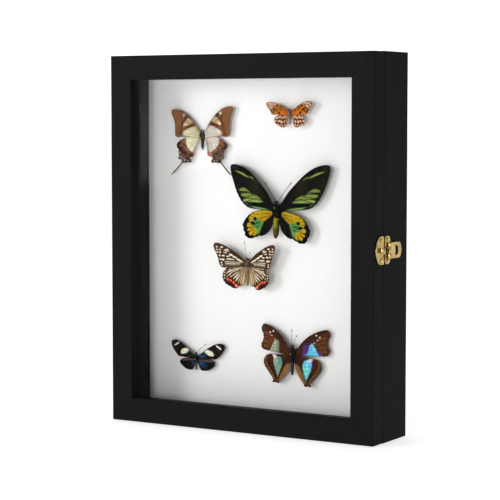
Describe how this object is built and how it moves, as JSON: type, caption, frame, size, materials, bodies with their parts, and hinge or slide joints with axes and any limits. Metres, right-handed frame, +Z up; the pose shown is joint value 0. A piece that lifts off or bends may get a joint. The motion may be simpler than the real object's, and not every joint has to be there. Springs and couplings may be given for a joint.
{
  "type": "framed butterfly specimen",
  "caption": "Black wooden shadow-box display case with a glazed hinged door and a brass hasp, holding pinned butterflies in front of a white board.",
  "frame": {"origin": "middle of the case's underside", "axes": "+Z up along the case's height, -Y out of the glazed front, +X to the side with the hasp"},
  "size_m": [0.3424, 0.0807, 0.412],
  "materials": {
    "black_wood": "satin black paint",
    "white_board": "matt white board",
    "hardboard": "unpainted hardboard",
    "clear_glass": "clear and polished",
    "brass": "polished",
    "steel": "plated",
    "swallowtail_body": "dry hairy insect body",
    "swallowtail_forewing": "dry scaled wing membrane",
    "swallowtail_hindwing": "dry scaled wing membrane",
    "fritillary_body": "dry hairy insect body",
    "fritillary_forewing": "dry scaled wing membrane",
    "fritillary_hindwing": "dry scaled wing membrane",
    "birdwing_body": "dry hairy insect body",
    "birdwing_forewing": "dry scaled wing membrane",
    "birdwing_hindwing": "dry scaled wing membrane",
    "ringskirt_body": "dry hairy insect body",
    "ringskirt_forewing": "dry scaled wing membrane",
    "ringskirt_hindwing": "dry scaled wing membrane",
    "longwing_body": "dry hairy insect body",
    "longwing_forewing": "dry scaled wing membrane",
    "longwing_hindwing": "dry scaled wing membrane",
    "emperor_body": "dry hairy insect body",
    "emperor_forewing": "dry scaled wing membrane",
    "emperor_hindwing": "dry scaled wing membrane"
  },
  "bodies": {
    "case": {"case_top": "black_wood", "case_bottom": "black_wood", "case_left": "black_wood", "case_right": "black_wood", "pinning_board": "white_board", "back_panel": "hardboard", "hinge_upper_case_leaf": "brass", "hinge_upper_pin": "brass", "hinge_lower_case_leaf": "brass", "hinge_lower_pin": "brass", "latch_plate": "brass", "latch_pin": "brass", "hanger_left": "steel", "hanger_right": "steel", "swallowtail_body": "swallowtail_body", "swallowtail_pin": "steel", "swallowtail_left_forewing": "swallowtail_forewing", "swallowtail_left_hindwing": "swallowtail_hindwing", "swallowtail_right_forewing": "swallowtail_forewing", "swallowtail_right_hindwing": "swallowtail_hindwing", "fritillary_body": "fritillary_body", "fritillary_pin": "steel", "fritillary_left_forewing": "fritillary_forewing", "fritillary_left_hindwing": "fritillary_hindwing", "fritillary_right_forewing": "fritillary_forewing", "fritillary_right_hindwing": "fritillary_hindwing", "birdwing_body": "birdwing_body", "birdwing_pin": "steel", "birdwing_left_forewing": "birdwing_forewing", "birdwing_left_hindwing": "birdwing_hindwing", "birdwing_right_forewing": "birdwing_forewing", "birdwing_right_hindwing": "birdwing_hindwing", "ringskirt_body": "ringskirt_body", "ringskirt_pin": "steel", "ringskirt_left_forewing": "ringskirt_forewing", "ringskirt_left_hindwing": "ringskirt_hindwing", "ringskirt_right_forewing": "ringskirt_forewing", "ringskirt_right_hindwing": "ringskirt_hindwing", "longwing_body": "longwing_body", "longwing_pin": "steel", "longwing_left_forewing": "longwing_forewing", "longwing_left_hindwing": "longwing_hindwing", "longwing_right_forewing": "longwing_forewing", "longwing_right_hindwing": "longwing_hindwing", "emperor_body": "emperor_body", "emperor_pin": "steel", "emperor_left_forewing": "emperor_forewing", "emperor_left_hindwing": "emperor_hindwing", "emperor_right_forewing": "emperor_forewing", "emperor_right_hindwing": "emperor_hindwing"},
    "door": {"door_top": "black_wood", "door_bottom": "black_wood", "door_left": "black_wood", "door_right": "black_wood", "glass": "clear_glass", "hinge_upper_door_leaf": "brass", "hinge_lower_door_leaf": "brass", "catch_plate": "brass"},
    "hasp": {"hasp": "brass"}
  },
  "joints": [
    {"name": "door_hinge", "type": "hinge", "parent": "case", "child": "door", "pos_m": [-0.1683, -0.0167, 0], "axis": [0, 0, -1], "range_deg": [0, 170]},
    {"name": "hasp_hinge", "type": "hinge", "parent": "case", "child": "hasp", "pos_m": [0.1689, -0.0092, 0.2046], "axis": [0, 0, -1], "range_deg": [0, 180]}
  ]
}
